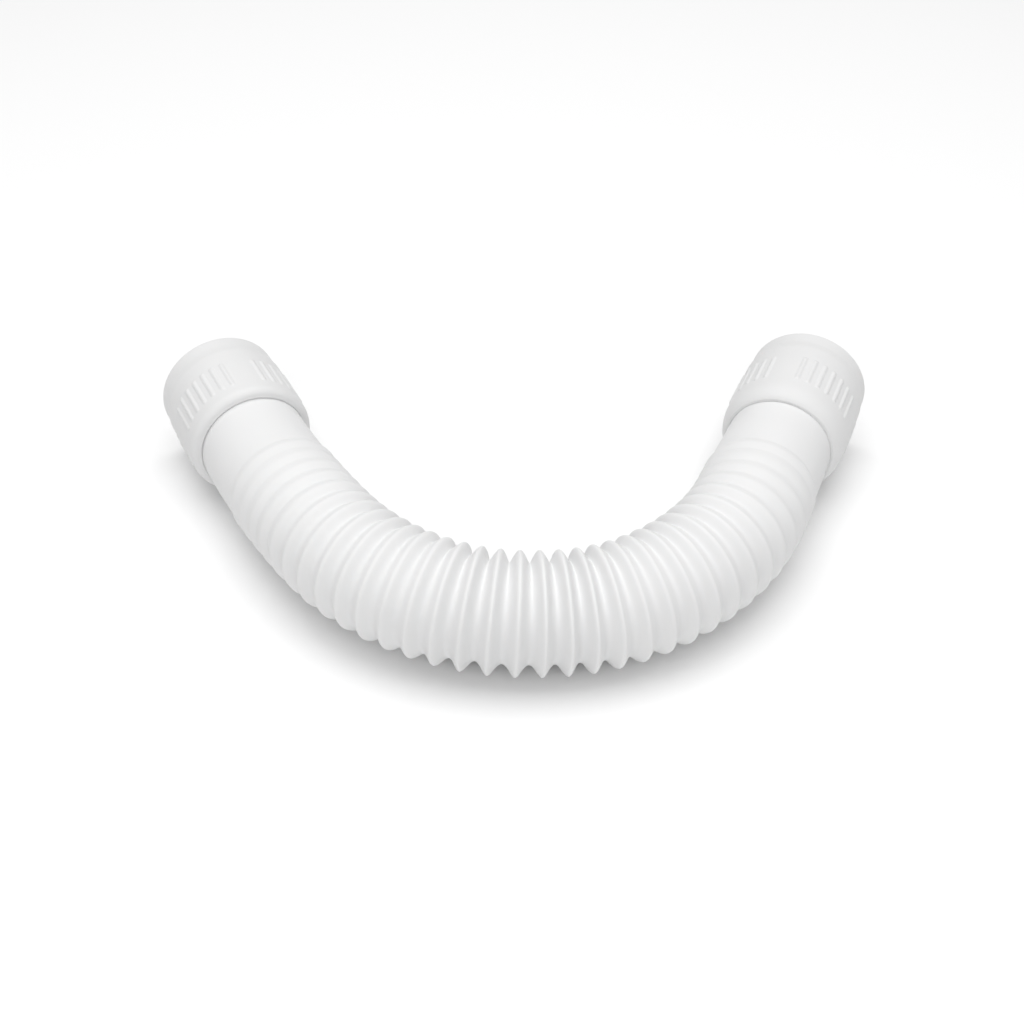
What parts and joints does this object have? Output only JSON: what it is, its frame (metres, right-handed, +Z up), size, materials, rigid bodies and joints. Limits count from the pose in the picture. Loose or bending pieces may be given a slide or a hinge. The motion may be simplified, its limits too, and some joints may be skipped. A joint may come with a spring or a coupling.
{
  "type": "corrugated hose with swivel cuffs",
  "caption": "Short white corrugated plastic hose bent in an open U, with a ribbed push-fit cuff that turns on each end, for joining two tubes.",
  "frame": {"origin": "middle of the part's box at floor level, under the open side of the bend", "axes": "+X from the left cuff to the right cuff, +Y the way the mouths face, +Z up from the floor it lies on"},
  "size_m": [0.257, 0.1494, 0.0449],
  "materials": {
    "hose_plastic": "satin white blow-moulded plastic",
    "cuff_plastic": "satin white injection-moulded plastic",
    "sleeve_plastic": "plain moulded plastic"
  },
  "bodies": {
    "hose_body": {"corrugated_hose": "hose_plastic", "left_swivel_sleeve": "sleeve_plastic", "right_swivel_sleeve": "sleeve_plastic"},
    "left_cuff_body": {"left_end_cuff": "cuff_plastic"},
    "right_cuff_body": {"right_end_cuff": "cuff_plastic"}
  },
  "joints": [
    {"name": "left_cuff_swivel", "type": "hinge", "parent": "hose_body", "child": "left_cuff_body", "pos_m": [-0.09066, 0.02359, 0.02245], "axis": [-0.4606, 0.8876, 0], "continuous": true},
    {"name": "right_cuff_swivel", "type": "hinge", "parent": "hose_body", "child": "right_cuff_body", "pos_m": [0.09315, 0.02865, 0.02245], "axis": [0.3796, 0.9252, 0], "continuous": true}
  ]
}
